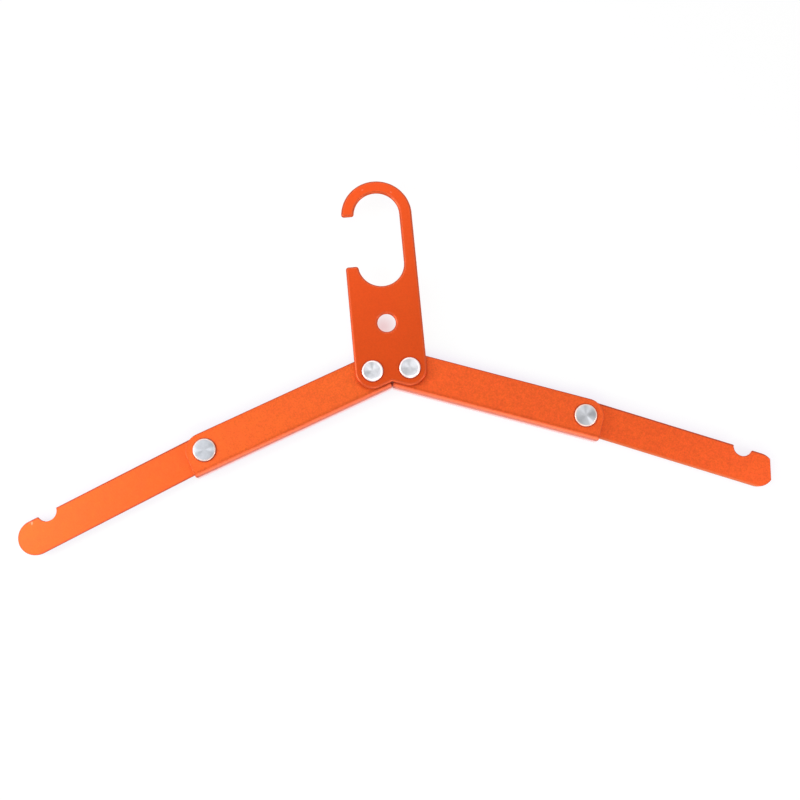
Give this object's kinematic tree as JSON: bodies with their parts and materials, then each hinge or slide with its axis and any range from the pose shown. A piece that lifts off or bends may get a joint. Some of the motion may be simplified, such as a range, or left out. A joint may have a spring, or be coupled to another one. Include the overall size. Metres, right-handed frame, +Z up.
{
  "type": "folding travel hanger",
  "caption": "Folding clothes hanger: flat hook plate with riveted channel arms that swing up behind it and notched outer bars that fold into the arms.",
  "frame": {"origin": "the rod seat: the top of the slot under the hook's arch, halfway through the plate's thickness", "axes": "+Z up as it hangs, +X to the viewer's right along the spread arms, +Y away from the viewer through the plate"},
  "size_m": [0.4106, 0.0142, 0.1891],
  "materials": {
    "anodised_plate": "satin orange anodised, smooth",
    "anodised_sheet": "orange anodised over a fine blasted grain",
    "rivet_metal": "bare, turned in fine rings",
    "nylon": "natural"
  },
  "bodies": {
    "root": {"hook_plate": "anodised_plate", "left_inner_rivet": "rivet_metal", "right_inner_rivet": "rivet_metal", "left_inner_rivet_cap": "rivet_metal", "right_inner_rivet_cap": "rivet_metal", "left_plate_washer": "nylon", "right_plate_washer": "nylon", "left_inside_washer": "nylon", "right_inside_washer": "nylon"},
    "left_arm": {"left_arm_channel": "anodised_sheet", "left_outer_rivet": "rivet_metal", "left_outer_rivet_back": "rivet_metal", "left_bar_spacer": "nylon", "left_bar_shim": "nylon"},
    "right_arm": {"right_arm_channel": "anodised_sheet", "right_outer_rivet": "rivet_metal", "right_outer_rivet_back": "rivet_metal", "right_bar_spacer": "nylon", "right_bar_shim": "nylon"},
    "left_bar": {"left_outer_bar": "anodised_sheet"},
    "right_bar": {"right_outer_bar": "anodised_sheet"}
  },
  "joints": [
    {"name": "left_arm_fold", "type": "hinge", "parent": "root", "child": "left_arm", "pos_m": [-0.0102, 0.00345, -0.1004], "axis": [0, 1, 0], "range_deg": [0, 110]},
    {"name": "right_arm_fold", "type": "hinge", "parent": "root", "child": "right_arm", "pos_m": [0.0102, 0.00345, -0.1004], "axis": [0, -1, 0], "range_deg": [0, 110]},
    {"name": "left_bar_fold", "type": "hinge", "parent": "left_arm", "child": "left_bar", "pos_m": [-0.10417, 0.00725, -0.1346], "axis": [0, 1, 0], "range_deg": [0, 182.4]},
    {"name": "right_bar_fold", "type": "hinge", "parent": "right_arm", "child": "right_bar", "pos_m": [0.10417, 0.00725, -0.1346], "axis": [0, -1, 0], "range_deg": [0, 182.4]}
  ]
}
